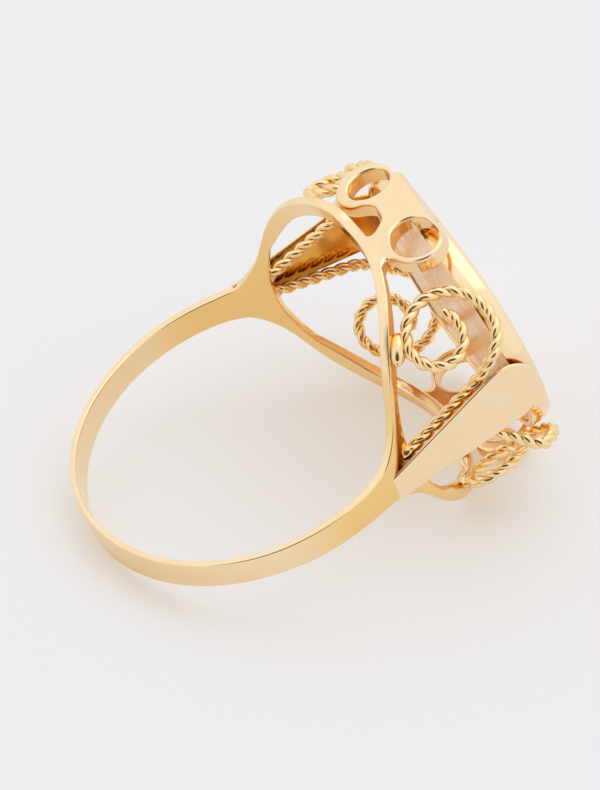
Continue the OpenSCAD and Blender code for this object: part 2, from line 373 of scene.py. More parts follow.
@dataclass(frozen=True)
class Shape:
    """Sizes that several pieces share, in millimetres.

    Attributes:
        bore_r: Radius of the finger hole.
        shank_r: Radius of the shank's outer face.
        shank_rise: How far that face's centre stands above the hole's.
        band_w_bottom: Width of the band at the bottom.
        band_w_side: Width of the band at the sides.
        head_a: Half of the head's length, across the finger.
        head_b: Half of its width, along the finger.
        head_c: Distance of its end arcs' centres from the middle.
        head_z: Height of its wall's lower edge.
        bezel_h: Height of the wall.
        bezel_t: Thickness of the wall.
        horn_face_y: Place of a horn's face along the finger.
        horn_top: Height of a horn's top.
        seam: Gap between neighbouring pieces.
    """

    bore_r: float = 9.1
    shank_r: float = 9.53
    shank_rise: float = 0.13
    band_w_bottom: float = 2.2
    band_w_side: float = 1.56
    head_a: float = 8.0
    head_b: float = 6.5
    head_c: float = 1.9
    head_z: float = 12.0
    bezel_h: float = 1.25
    bezel_t: float = 0.35
    horn_face_y: float = 7.65
    horn_top: float = 12.95
    seam: float = 0.04

    @property
    def shank_edge(self) -> np.ndarray:
        """Edge of the shank, from the bottom of the band to the middle of an arm.

        Returns:
            Rows of angle from the bottom, in degrees, and half width along the finger.
        """
        side = self.band_w_side / 2
        return np.array([[0, self.band_w_bottom / 2], [35, side + 0.09], [65, side], [85, side + 0.03],
                         [95, side + 0.05], [102, 0.86], [109, 0.94], [116, 1.24], [124, 2.5], [134, 5.1],
                         [146, 6.7], [162, 7.4], [180, 7.46]])

    @property
    def window_edge(self) -> np.ndarray:
        """Edge of the window between the arms, from the crotch: angle, half width."""
        return np.array([[126, 0], [126.25, 0.75], [127, 1.5], [130, 2.9], [134, 3.9], [147, 5.75],
                         [162, 6.55], [180, 6.42]])

    def oval(self, inset: float, count: int) -> np.ndarray:
        """Four-centre oval of the head, moved in by inset.

        At the angle t of its normal the point is (+-c, 0) + (a - c)(cos t, sin t) on the ends and
        (0, -+s) + (b + s)(cos t, sin t) on the sides, where s = (c^2 - (b-a+c)^2) / 2(b-a+c).

        Args:
            inset: Distance inside the head's outer face.
            count: Number of points.

        Returns:
            The closed outline.
        """
        a, b, c = self.head_a - inset, self.head_b - inset, self.head_c
        s = (c * c - (b - a + c) ** 2) / (2 * (b - a + c))
        t = np.linspace(0, 2 * np.pi, count, endpoint=False)
        on_end = np.abs(np.sin(t)) * c < s * np.abs(np.cos(t))
        x = np.where(on_end, np.sign(np.cos(t)) * c + (a - c) * np.cos(t), (b + s) * np.cos(t))
        y = np.where(on_end, (a - c) * np.sin(t), -np.sign(np.sin(t)) * s + (b + s) * np.sin(t))
        return np.stack([x, y], -1)


SHAPE = Shape()


class Rest:
    """How the ring rests: it leans till the lower arm's inner edge is as low as the band's edge."""

    def __init__(self, shape: Shape) -> None:
        """Works out the lean, the lift and the shift that centres the ring over the origin.

        Args:
            shape: The ring's sizes.
        """
        edge = curve_through(shape.shank_edge, LEAN_STEPS)
        edge = edge[edge[:, 0] > SIDE_DEG]
        bottom = shape.shank_r - shape.shank_rise
        half = shape.band_w_bottom / 2
        height = bottom - shape.bore_r * np.cos(np.radians(edge[:, 0]))
        self.tilt = float(np.arctan2(edge[:, 1] - half, height).max())
        c, s = math.cos(self.tilt), math.sin(self.tilt)
        self.lift = half * c + bottom * s
        rim = (shape.head_z + shape.bezel_h) * c + shape.head_b * s
        curl = shape.horn_top * c + shape.horn_face_y * s
        back = bottom * c + half * s
        self.shift = (max(rim, curl) - back) / 2

    def place(self, points: np.ndarray) -> np.ndarray:
        """Lays standing points down as the ring rests.

        Args:
            points: Standing points in millimetres.

        Returns:
            The same points in the row frame, in metres.
        """
        x, y, z = np.moveaxis(np.asarray(points, float), -1, 0)
        c, s = math.cos(self.tilt), math.sin(self.tilt)
        return MM * np.stack([x, y * s - z * c + self.shift, y * c + z * s + self.lift], -1)


REST = Rest(SHAPE)


# Finishes


def linear(code: str) -> tuple[float, float, float, float]:
    """sRGB hex colour as linear RGBA."""
    parts = [int(code.lstrip("#")[i : i + 2], 16) / 255 for i in (0, 2, 4)]
    return (*[c / 12.92 if c <= 0.04045 else ((c + 0.055) / 1.055) ** 2.4 for c in parts], 1.0)


def add_node(tree: bpy.types.NodeTree, kind: str, settings: dict[str, object] | None = None,
             **links: object) -> bpy.types.Node:
    """Adds a node with its settings and its inputs.

    Args:
        tree: Where the node goes.
        kind: Identifier of the node's type.
        settings: Attributes of the node.
        links: Input's name with underscores for spaces, or an underscore and its number, to a
            value or to the socket that feeds it.

    Returns:
        The node.
    """
    node = tree.nodes.new(kind)
    for name, value in (settings or {}).items():
        setattr(node, name, value)
    for name, value in links.items():
        socket = node.inputs[int(name[1:])] if name[0] == "_" else node.inputs[name.replace("_", " ")]
        if isinstance(value, bpy.types.NodeSocket):
            tree.links.new(value, socket)
        else:
            socket.default_value = value
    return node


@dataclass(frozen=True)
class GoldFinish:
    """Yellow gold alloy, worked by hand. The alloy's own reflectance gives most of its colour; painted shade
    in the recesses and painted reflections give the rest.

    Attributes:
        name: The material's name.
        colour: Reflectance where the surface is clean and bright.
        deep: Reflectance where the surface is a little richer, in soft clouds.
        recess: Painted shade: a deeper colour in the recesses, standing in for the shade and the gold-on-gold
            reflections there.
        roughness: Microfacet roughness on the best polished places.
        haze: Extra roughness on the least polished places.
        cloud_mm: Size of the clouds of polish, in millimetres.
        ripple_mm: Length of the shallow waves that hand filing leaves.
        ripple_um: Height of those waves, in micrometres.
        scratch_um: Height of the finest marks, in micrometres.
        reach_mm: How near other metal makes a recess, in millimetres.
        inner: Painted reflection: a deeper gold on the faces that look in at the ring's middle, standing in
            for the gold around them that they reflect.
        heated: Painted reflection: a deeper colour on the rolled faces near the shoulders, standing in for
            the gold around them that they reflect.
        heat_mm: Height of that colour's middle, and how far off it is full and gone, in millimetres.
        mark_mm: Length of the finest marks. A mop's own are hundredths of a millimetre long, too
            fine to show, so they are drawn as coarse as they need to be.
        recess_air: Share of open air over a place that is all recess, and over one that is none.
        cloud_span: Cloud values that give the best polish and the least.
        inner_mm: Distance across the finger, times how squarely the face looks in, at which the
            inner colour starts and is full, in millimetres.
        edge_share: Share of the normal along the finger where a rolled face ends and an edge begins.
    """

    name: str
    colour: str
    deep: str
    recess: str
    roughness: float
    haze: float
    cloud_mm: float
    ripple_mm: float
    ripple_um: float
    scratch_um: float
    reach_mm: float = 1.2
    inner: str | None = None
    heated: str | None = None
    heat_mm: tuple[float, float, float] = (3.2, 2.0, 5.0)
    mark_mm: float = 0.12
    recess_air: tuple[float, float] = (0.35, 0.85)
    cloud_span: tuple[float, float] = (0.35, 0.7)
    inner_mm: tuple[float, float] = (1.0, 4.0)
    edge_share: tuple[float, float] = (0.5, 0.85)

    def material(self) -> bpy.types.Material:
        """Builds the finish as a Principled metal.

        Returns:
            The material, made once and shared.
        """
        found = bpy.data.materials.get(self.name)
        if found:
            return found
        made = bpy.data.materials.new(self.name)
        made.use_nodes = True
        tree = made.node_tree
        tree.nodes.clear()
        place = add_node(tree, "ShaderNodeTexCoord").outputs["Object"]
        clouds = add_node(tree, "ShaderNodeTexNoise", Vector=place, Scale=1 / (self.cloud_mm * MM),
                          Detail=3.0, Roughness=0.55)
        waves = add_node(tree, "ShaderNodeTexNoise", Vector=place, Scale=1 / (self.ripple_mm * MM),
                         Detail=1.0, Roughness=0.4)
        marks = add_node(tree, "ShaderNodeTexNoise", Vector=place, Scale=1 / (self.mark_mm * MM),
                         Detail=4.0, Roughness=0.7)
        tone = add_node(tree, "ShaderNodeMix", {"data_type": "RGBA"}, Factor=clouds.outputs["Fac"],
                        _6=linear(self.colour), _7=linear(self.deep))
        # Painted reflection of the surrounding gold on the faces that look in, if the finish has one.
        clean = self.inside(tree, tone.outputs[MIXED]) if self.inner else tone.outputs[MIXED]
        # Painted shade: ambient occlusion mixes in the recess colour where other metal is near.
        room = add_node(tree, "ShaderNodeAmbientOcclusion", {"samples": 6}, Distance=self.reach_mm * MM)
        closed, free = self.recess_air
        depth = add_node(tree, "ShaderNodeMapRange", Value=room.outputs["AO"], From_Min=closed,
                         From_Max=free, To_Min=1.0, To_Max=0.0)
        toned = add_node(tree, "ShaderNodeMix", {"data_type": "RGBA"}, Factor=depth.outputs["Result"],
                         _6=clean, _7=linear(self.recess))
        # Painted reflection of the neighbouring gold about the shoulders, if the finish has one.
        colour = self.enrich(tree, toned.outputs[MIXED]) if self.heated else toned.outputs[MIXED]
        best, least = self.cloud_span
        rough = add_node(tree, "ShaderNodeMapRange", Value=clouds.outputs["Fac"], From_Min=best,
                         From_Max=least, To_Min=self.roughness, To_Max=self.roughness + self.haze)
        wave = add_node(tree, "ShaderNodeBump", Height=waves.outputs["Fac"], Distance=self.ripple_um * 1e-6)
        bump = add_node(tree, "ShaderNodeBump", Height=marks.outputs["Fac"], Distance=self.scratch_um * 1e-6,
                        Normal=wave.outputs["Normal"])
        metal = add_node(tree, "ShaderNodeBsdfPrincipled", Base_Color=colour, Metallic=1.0,
                         Roughness=rough.outputs["Result"], Normal=bump.outputs["Normal"])
        add_node(tree, "ShaderNodeOutputMaterial", Surface=metal.outputs["BSDF"])
        return made

    def inside(self, tree: bpy.types.NodeTree, colour: bpy.types.NodeSocket) -> bpy.types.NodeSocket:
        """Paints a reflection of the surrounding gold, as a deeper colour, on the faces that look in at the
        ring's middle.

        Such a face's place and normal have opposite signs across the finger, and the share rises
        with the product of the two.

        Args:
            tree: The material's nodes.
            colour: The outer faces' colour.

        Returns:
            The colour of both.
        """
        around = add_node(tree, "ShaderNodeTexCoord")
        spot = add_node(tree, "ShaderNodeSeparateXYZ", Vector=around.outputs["Object"])
        look = add_node(tree, "ShaderNodeSeparateXYZ", Vector=around.outputs["Normal"])
        inward = add_node(tree, "ShaderNodeMath", {"operation": "MULTIPLY"}, _0=spot.outputs["X"],
                          _1=look.outputs["X"])
        start, full = (-length * MM for length in self.inner_mm)
        share = add_node(tree, "ShaderNodeMapRange", Value=inward.outputs["Value"], From_Min=start,
                         From_Max=full)
        mixed = add_node(tree, "ShaderNodeMix", {"data_type": "RGBA"}, Factor=share.outputs["Result"],
                         _6=colour, _7=linear(self.inner))
        return mixed.outputs[MIXED]

    def enrich(self, tree: bpy.types.NodeTree, colour: bpy.types.NodeSocket) -> bpy.types.NodeSocket:
        """Paints a reflection of the neighbouring gold, as a deeper colour, about the shoulders on the rolled
        faces, and not on the filed edges.

        The share falls with the distance in height from the shoulders, and with the share of the
        normal that points along the finger.

        Args:
            tree: The material's nodes.
            colour: The colour without the painted reflection.

        Returns:
            The colour with it.
        """
        origin, finger, height = REST.place(np.array([[0, 0, 0], [0, 1, 0], [0, 0, 1.0]]))
        around = add_node(tree, "ShaderNodeTexCoord")
        rise = add_node(tree, "ShaderNodeVectorMath", {"operation": "DOT_PRODUCT"},
                        _0=around.outputs["Object"], _1=tuple(unit(height - origin)))
        middle, full, gone = (MM * length for length in self.heat_mm)
        above = add_node(tree, "ShaderNodeMath", {"operation": "SUBTRACT"}, _0=rise.outputs["Value"],
                         _1=float(unit(height - origin) @ origin) + middle)
        off = add_node(tree, "ShaderNodeMath", {"operation": "ABSOLUTE"}, _0=above.outputs["Value"])
        share = add_node(tree, "ShaderNodeMapRange", Value=off.outputs["Value"], From_Min=full, From_Max=gone,
                         To_Min=1.0, To_Max=0.0)
        side = add_node(tree, "ShaderNodeVectorMath", {"operation": "DOT_PRODUCT"},
                        _0=around.outputs["Normal"], _1=tuple(unit(finger - origin)))
        edge = add_node(tree, "ShaderNodeMath", {"operation": "ABSOLUTE"}, _0=side.outputs["Value"])
        flat, steep = self.edge_share
        face = add_node(tree, "ShaderNodeMapRange", Value=edge.outputs["Value"], From_Min=flat,
                        From_Max=steep, To_Min=1.0, To_Max=0.0)
        both = add_node(tree, "ShaderNodeMath", {"operation": "MULTIPLY"}, _0=share.outputs["Result"],
                        _1=face.outputs["Result"])
        mixed = add_node(tree, "ShaderNodeMix", {"data_type": "RGBA"}, Factor=both.outputs["Value"],
                         _6=colour, _7=linear(self.heated))
        return mixed.outputs[MIXED]


# Head, filed and then polished on a mop: bright, with slow waves in what it reflects, and painted shade, a
# deeper gold, where other metal is near.
POLISHED = GoldFinish("gold_mop_polished", colour="#FFEAC6", deep="#FFE1B3", recess="#FFD48A",
                      roughness=0.09, haze=0.09, cloud_mm=1.6, ripple_mm=1.3, ripple_um=1.4,
                      scratch_um=0.05, reach_mm=5.0)
# Leaves, mopped like the head: a painted reflection, a deeper gold, on the faces that look in, and painted
# shade, a dark brown, where the ropes are near.
LEAF = GoldFinish("gold_leaf_sheet", colour="#FFEAC6", deep="#FFE1B3", recess="#94602A",
                  roughness=0.09, haze=0.09, cloud_mm=1.6, ripple_mm=1.3, ripple_um=1.4,
                  scratch_um=0.05, reach_mm=1.4, inner="#FFC868")
# The strip of the shank, rolled and bent: a painted reflection deepens its colour by the shoulders, and
# painted shade, a deeper gold, fills its recesses.
STRIP = GoldFinish("gold_rolled_strip", colour="#FFECC8", deep="#FDD9A4", recess="#F2BC66",
                   roughness=0.09, haze=0.10, cloud_mm=4.5, ripple_mm=1.6, ripple_um=1.6,
                   scratch_um=0.05, heated="#FBD48C")
# Soldered and filed supports: wavy, with painted shade, a deeper gold, in the curls.
FILED = GoldFinish("gold_filed_and_soldered", colour="#FFE7C0", deep="#FCDDAE", recess="#F5B650",
                   roughness=0.12, haze=0.12, cloud_mm=0.8, ripple_mm=0.9, ripple_um=6.0,
                   scratch_um=0.1, reach_mm=2.2)
# Back of the head's sheet, left as rolled and pickled: soft and slightly pink, with painted shade, a deeper
# gold, in its recesses.
SATIN = GoldFinish("gold_rolled_satin", colour="#FBD6A8", deep="#F1BE82", recess="#E9AE66",
                   roughness=0.2, haze=0.12, cloud_mm=1.2, ripple_mm=2.5, ripple_um=15.0,
                   scratch_um=0.1)
# Drawn wire, twisted in two: bright on the crowns, with painted shade, a deeper gold, between the strands.
WIRE = GoldFinish("gold_drawn_wire", colour="#FFE9C0", deep="#FCD38C", recess="#F6C458",
                  roughness=0.10, haze=0.08, cloud_mm=0.5, ripple_mm=0.3, ripple_um=0.6,
                  scratch_um=0.08, reach_mm=0.9)


def make_piece(name: str, vertices: np.ndarray, quads: np.ndarray, finish: GoldFinish,
               nodes: list[str], normals: np.ndarray | None = None) -> bpy.types.Object:
    """Makes a mesh object from standing points, lays it down and joins it to the frame.

    Args:
        name: The piece's name.
        vertices: Standing points in millimetres.
        quads: Vertex numbers of each quad.
        finish: Its finish.
        nodes: CAD nodes that it stands for.
        normals: Standing normal of each vertex, if they are known exactly.

    Returns:
        The object.
    """
    mesh = bpy.data.meshes.new(name)
    mesh.from_pydata(REST.place(vertices), [], quads)
    if normals is None:
        shell = bmesh.new()
        shell.from_mesh(mesh)
        bmesh.ops.remove_doubles(shell, verts=shell.verts, dist=WELD_MM * MM)
        bmesh.ops.dissolve_degenerate(shell, edges=shell.edges, dist=SLIVER_MM * MM)
        bmesh.ops.recalc_face_normals(shell, faces=shell.faces)
        shell.to_mesh(mesh)
        shell.free()
    mesh.shade_smooth()
    if normals is not None:
        origin = REST.place(np.zeros(3))
        mesh.normals_split_custom_set_from_vertices(unit(REST.place(normals) - origin))
    mesh.materials.append(finish.material())
    piece = bpy.data.objects.new(name, mesh)
    bpy.context.scene.collection.objects.link(piece)
    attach(piece, "root")
    if nodes:
        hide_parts(*nodes)
    LOG.info("%s: %d vertices, %d faces", name, len(mesh.vertices), len(mesh.polygons))
    return piece


def join_surfaces(surfaces: list[Surface]) -> tuple[np.ndarray, np.ndarray]:
    """Several grids as one list of vertices and one of quads.

    Args:
        surfaces: The grids.

    Returns:
        Vertices and quads.
    """
    first, vertices, quads = 0, [], []
    for surface in surfaces:
        quads.append(surface.quads(first))
        vertices.append(surface.points.reshape(-1, 3))
        first += len(vertices[-1])
    return np.vstack(vertices), np.vstack(quads)


# The ring's pieces


@dataclass
class Shank:
    """The band and the two arms it forks into: one strip, pierced and spread, with softened edges.

    Attributes:
        fillet: Radius of every edge.
        crown: Swell of the outer face in the middle.
        band_rows: Rows of points round half of the band.
        arm_rows: Rows of points along half of an arm.
        face_cols: Points across a face.
        corner_points: Points over an edge.
        mean_r: Radius at which the flat strip keeps its length.
        curve_steps: Points between two rows of an edge's table.
        edge_points: Points along an edge before it is cut at the fork.
        fork_lead: Degrees before the crotch where the band's rows end and the arm's begin.
        fork_w: Half width of the window at which the face's swell is all the arm's.
        bend: How far the front arm is bent, at most.
        bend_at: Degrees from the bottom where it is bent most.
        bend_reach: Degrees on either side that the bend takes.
        bend_fade: Degrees before the arm's middle in which the bend dies away.
        bend_y: Place along the finger where the bend starts, and the length in which it is full.
    """

    fillet: float = 0.085
    crown: float = 0.03
    band_rows: int = 150
    arm_rows: int = 150
    face_cols: int = 9
    corner_points: int = 6
    mean_r: float = 9.3
    curve_steps: int = 16
    edge_points: int = 2000
    fork_lead: float = 2.0
    fork_w: float = 2.5
    bend: tuple[float, float, float] = (0.0, 0.38, 0.08)
    bend_at: float = 153.0
    bend_reach: float = 22.0
    bend_fade: float = 14.0
    bend_y: tuple[float, float] = (2.5, 3.0)

    def edge_rows(self, table: np.ndarray, first: float, count: int) -> np.ndarray:
        """Part of an edge from an angle on, evenly spaced in the flat strip.

        Args:
            table: The edge, as angle and half width.
            first: The angle it starts from.
            count: Number of points.

        Returns:
            Places in the flat strip: length round the ring, half width.
        """
        flat = curve_through(table, self.curve_steps) * [np.radians(self.mean_r), 1]
        start = np.radians(first) * self.mean_r
        begin = np.array([[start, np.interp(start, flat[:, 0], flat[:, 1])]])
        return resample(np.vstack([begin, flat[flat[:, 0] > start + 1e-6]]), count)

    def radius(self, around: np.ndarray, outer: bool) -> np.ndarray:
        """Distance of the strip's outer or inner face from the hole's axis.

        Args:
            around: Length round the ring from the bottom, in the flat strip.
            outer: The outer face, or else the inner.

        Returns:
            The distances.
        """
        if not outer:
            return np.full_like(around, SHAPE.bore_r)
        t, e = around / self.mean_r, SHAPE.shank_rise
        return -e * np.cos(t) + np.sqrt(SHAPE.shank_r**2 - (e * np.sin(t)) ** 2)

    def fold(self, flat: np.ndarray, depth: np.ndarray) -> np.ndarray:
        """Bends the flat strip round the finger.

        The point (s, u) at depth d lies at radius inner + d (outer - inner), angle s / mean radius.

        Args:
            flat: Length round the ring and place along the finger.
            depth: 0 on the inner face and 1 on the outer.

        Returns:
            Standing points.
        """
        around, along = flat[..., 0], flat[..., 1]
        inner, outer = self.radius(around, False), self.radius(around, True)
        r, t = inner + depth * (outer - inner), around / self.mean_r
        return np.stack([r * np.sin(t), along, -r * np.cos(t)], -1)

    def quarter(self) -> list[Surface]:
        """A quarter of the shank: one half of the band, and half of one arm.

        Rows run round the ring. Columns cross the strip from the middle, or from the window's
        edge, to the outer edge on the outer face, turn over the edge and come back inside.

        Returns:
            Its grids.
        """
        crotch = SHAPE.window_edge[0, 0]
        middle_end = crotch - np.degrees(self.fillet / self.mean_r)
        middle = np.zeros((self.band_rows, 2))
        middle[:, 0] = np.linspace(0, np.radians(middle_end) * self.mean_r, self.band_rows)
        band_edge = self.edge_rows(SHAPE.shank_edge, 0, self.edge_points)
        split = np.radians(crotch - self.fork_lead) * self.mean_r
        lower = resample(band_edge[band_edge[:, 0] <= split], self.band_rows)
        upper = resample(band_edge[band_edge[:, 0] >= split], self.arm_rows)
        window = self.edge_rows(SHAPE.window_edge, crotch, self.arm_rows)
        inner_edge = np.vstack([middle, window])
        outer_edge = np.vstack([lower, upper])

        def across(edge: np.ndarray) -> np.ndarray:
            """Direction across the strip, away from its middle, at each point of an edge."""
            d = np.gradient(edge, axis=0)
            return unit(np.stack([-d[:, 1], d[:, 0]], -1))

        out = across(outer_edge)
        into = np.vstack([np.tile([0.0, 1.0], (self.band_rows, 1)), across(window)])
        into[self.band_rows] = [-1, 0]
        has_wall = (np.arange(len(inner_edge)) >= self.band_rows)[:, None]
        begin = inner_edge + np.where(has_wall, self.fillet, 0) * into
        end = outer_edge - self.fillet * out
        share = np.linspace(0, 1, self.face_cols)[None, :, None]
        face = begin[:, None] + share * (end - begin)[:, None]
        thick = (self.radius(outer_edge[:, 0], True) - SHAPE.bore_r)[:, None]
        turn = np.radians(np.linspace(0, 90, self.corner_points))
        corner_in = self.fillet * np.sin(turn)
        corner_down = self.fillet * (1 - np.cos(turn))
        edge = end[:, None] + corner_in[None, :, None] * out[:, None]
        upper_depth = 1 - corner_down[None] / thick
        swell = self.crown * (1 - (2 * np.linspace(0, 1, self.face_cols) - 1) ** 2)
        swell_band = self.crown * (1 - np.linspace(0, 1, self.face_cols) ** 2)
        blend = np.clip(inner_edge[:, 1] / self.fork_w, 0, 1)[:, None]
        face_depth = 1 + (blend * swell + (1 - blend) * swell_band) / thick
        lower_depth = corner_down[None] / thick
        flat = np.concatenate([face, edge, edge[:, ::-1], face[:, ::-1]], 1)
        depth = np.concatenate([face_depth, upper_depth, lower_depth[:, ::-1], np.zeros_like(face_depth)], 1)
        skin = self.fold(flat, depth)
        rows = slice(self.band_rows, None)
        back = begin[rows, None] - corner_in[None, :, None] * into[rows, None]
        wall_flat = np.concatenate([back, back[:, ::-1]], 1)
        wall_depth = np.concatenate([upper_depth[rows], lower_depth[rows, ::-1]], 1)
        wall = self.fold(wall_flat, wall_depth)
        return [Surface(skin), Surface(wall)]

    def build(self) -> None:
        """Mirrors the quarter into the whole shank, bends the front arm out a little, and welds it."""
        parts = [Surface(grid.points * [sx, sy, 1])
                 for grid in self.quarter() for sx in (1, -1) for sy in (1, -1)]
        start, rise = self.bend_y
        for part in parts:
            x, y, z = np.moveaxis(part.points, -1, 0)
            angle = np.degrees(np.arctan2(x, -z))
            fade = np.clip((180 - angle) / self.bend_fade, 0, 1)
            share = np.exp(-(((angle - self.bend_at) / self.bend_reach) ** 4)) * fade**2 * (3 - 2 * fade)
            share = share * np.clip((y - start) / rise, 0, 1)
            part.points += share[..., None] * np.array(self.bend)
        vertices, quads = join_surfaces(parts)
        make_piece("shank_strip", vertices, quads, STRIP, ["shank"])


@dataclass
class Head:
    """The oval wall of the head and the sheet that closes it.

    Attributes:
        wall_fillet: Radius of the wall's edges.
        swell_h: Height of the wall's part that leans in slowly.
        swell: How far that part leans in.
        roll_r: Radius of the rolled rim above it.
        roll_deg: Lean of the rim where it starts and where it ends.
        plate_t: Thickness of the sheet.
        plate_gap: Height of the sheet above the wall's lower edge.
        plate_fillet: Radius of the sheet's edge.
        plate_rings: Rings of points from the sheet's edge to its middle.
        steps: Points round the head.
    """

    wall_fillet: float = 0.07
    swell_h: float = 0.89
    swell: float = 0.05
    roll_r: float = 0.48
    roll_deg: tuple[float, float] = (8.0, 62.0)
    plate_t: float = 0.4
    plate_gap: float = 0.1
    plate_fillet: float = 0.03
    plate_rings: int = 24
    steps: int = 240

    def wall_profile(self) -> np.ndarray:
        """Section of the wall, as distance in from its outer face and height.

        The outer face leans in slowly, as a parabola, and then rolls over on an arc of radius r
        from angle a to b, which rises by r (sin b - sin a) and comes in by r (cos a - cos b).

        Returns:
            The closed section.
        """
        flat = rounded_profile(SHAPE.bezel_t, SHAPE.bezel_h, self.wall_fillet)
        rise = flat[:, 1]
        share = np.clip(rise / self.swell_h, 0, 1)
        start, end = (math.radians(a) for a in self.roll_deg)
        sine = math.sin(start) + np.clip(rise - self.swell_h, 0, None) / self.roll_r
        turn = np.clip(np.arcsin(np.clip(sine, -1, 1)), start, end)
        lean = self.swell * share**2 + self.roll_r * (math.cos(start) - np.cos(turn))
        return np.stack([np.maximum(flat[:, 0], lean), rise], -1)

    def build(self) -> None:
        """Builds the wall and the sheet."""
        profile = self.wall_profile()
        ovals = np.stack([SHAPE.oval(inset, self.steps) for inset in profile[:, 0]], 1)
        heights = np.broadcast_to(SHAPE.head_z + profile[None, :, 1, None], ovals.shape[:2] + (1,))
        vertices, quads = join_surfaces([Surface(np.concatenate([ovals, heights], -1), True, True)])
        make_piece("head_wall", vertices, quads, POLISHED, ["bezel"])
        outline = SHAPE.oval(SHAPE.bezel_t + SHAPE.seam / 2, self.steps)
        sheet = plate(outline, self.plate_t, self.plate_fillet, self.plate_rings)
        sheet[..., 2] += SHAPE.head_z + self.plate_gap
        vertices, quads = join_surfaces([Surface(sheet, wrap_cols=True)])
        make_piece("head_sheet", vertices, quads, SATIN, ["back_plate"])


@dataclass
class Leaf:
    """A paddle-shaped plate that stands on a shoulder and reaches the head.

    Attributes:
        side: The shoulder it stands on.
        cant: How far its tip stands forward of its foot.
        shift: How far the whole of it stands off the middle.
        tip_z: Height of its tip.
        radius: Radius of its round end.
        foot_w: Width at the foot.
        thickness: Thickness of the sheet.
        foot_z: Height of the foot.
        sink: How far it runs on below the foot.
        fillet: Radius of its edge, just under half of the sheet.
        crown: Swell of its faces.
        rings: Rings of points from its edge to its middle.
        tip_points: Points on the round end.
        side_points: Points on each straight edge.
        foot_points: Points along the foot.
    """

    side: Side
    cant: float
    shift: float
    tip_z: float
    radius: float = 1.8
    foot_w: float = 1.4
    thickness: float = 0.22
    foot_z: float = 4.0
    sink: float = 0.25
    fillet: float = 0.108
    crown: float = 0.015
    rings: int = 16
    tip_points: int = 60
    side_points: int = 30
    foot_points: int = 8

    def outline(self) -> tuple[np.ndarray, float]:
        """The paddle's outline: a round end, and straight edges that touch it and run to the foot.

        Returns:
            The closed outline, and the height of the round end's centre above the foot.
        """
        centre = self.tip_z - self.radius - self.foot_z
        half = self.foot_w / 2
        reach = math.hypot(half, centre)
        touch = math.acos(self.radius / reach) - math.atan2(centre, half)
        t = np.linspace(touch, math.pi - touch, self.tip_points)
        arc = np.stack([self.radius * np.cos(t), centre + self.radius * np.sin(t)], -1)
        foot = np.array([[-half, -self.sink], [half, -self.sink]])
        down = np.linspace(arc[-1], foot[0], self.side_points)[1:]
        level = np.linspace(foot[0], foot[1], self.foot_points)[1:]
        up = np.linspace(foot[1], arc[0], self.side_points)[1:-1]
        return np.vstack([arc, down, level, up]), centre

    def build(self) -> None:
        """Builds the plate, leans it from the shoulder to the head and cants it."""
        outline, centre = self.outline()
        grid = plate(outline, self.thickness, self.fillet, self.rings, self.crown)
        local = np.stack([grid[..., 2] - self.thickness, grid[..., 0], grid[..., 1]], -1)
        foot_x = SHAPE.shank_r * math.sqrt(1 - ((self.foot_z - SHAPE.shank_rise) / SHAPE.shank_r) ** 2)
        tip_x = SHAPE.head_a + SHAPE.seam
        lean = math.atan2(foot_x - tip_x - self.thickness, self.tip_z - self.foot_z)
        turn = math.atan2(self.cant, centre)
        y = local[..., 1] * math.cos(turn) + local[..., 2] * math.sin(turn)
        z = local[..., 2] * math.cos(turn) - local[..., 1] * math.sin(turn)
        x = local[..., 0] * math.cos(lean) - z * math.sin(lean)
        z = local[..., 0] * math.sin(lean) + z * math.cos(lean)
        points = np.stack([self.side.value * (foot_x + x), y + self.shift - self.cant / 2,
                           self.foot_z + z], -1)
        vertices, quads = join_surfaces([Surface(points, wrap_cols=True)])
        name = self.side.name.lower()
        make_piece(f"leaf_plate_{name}", vertices, quads, LEAF, [f"leaf_{name}"])


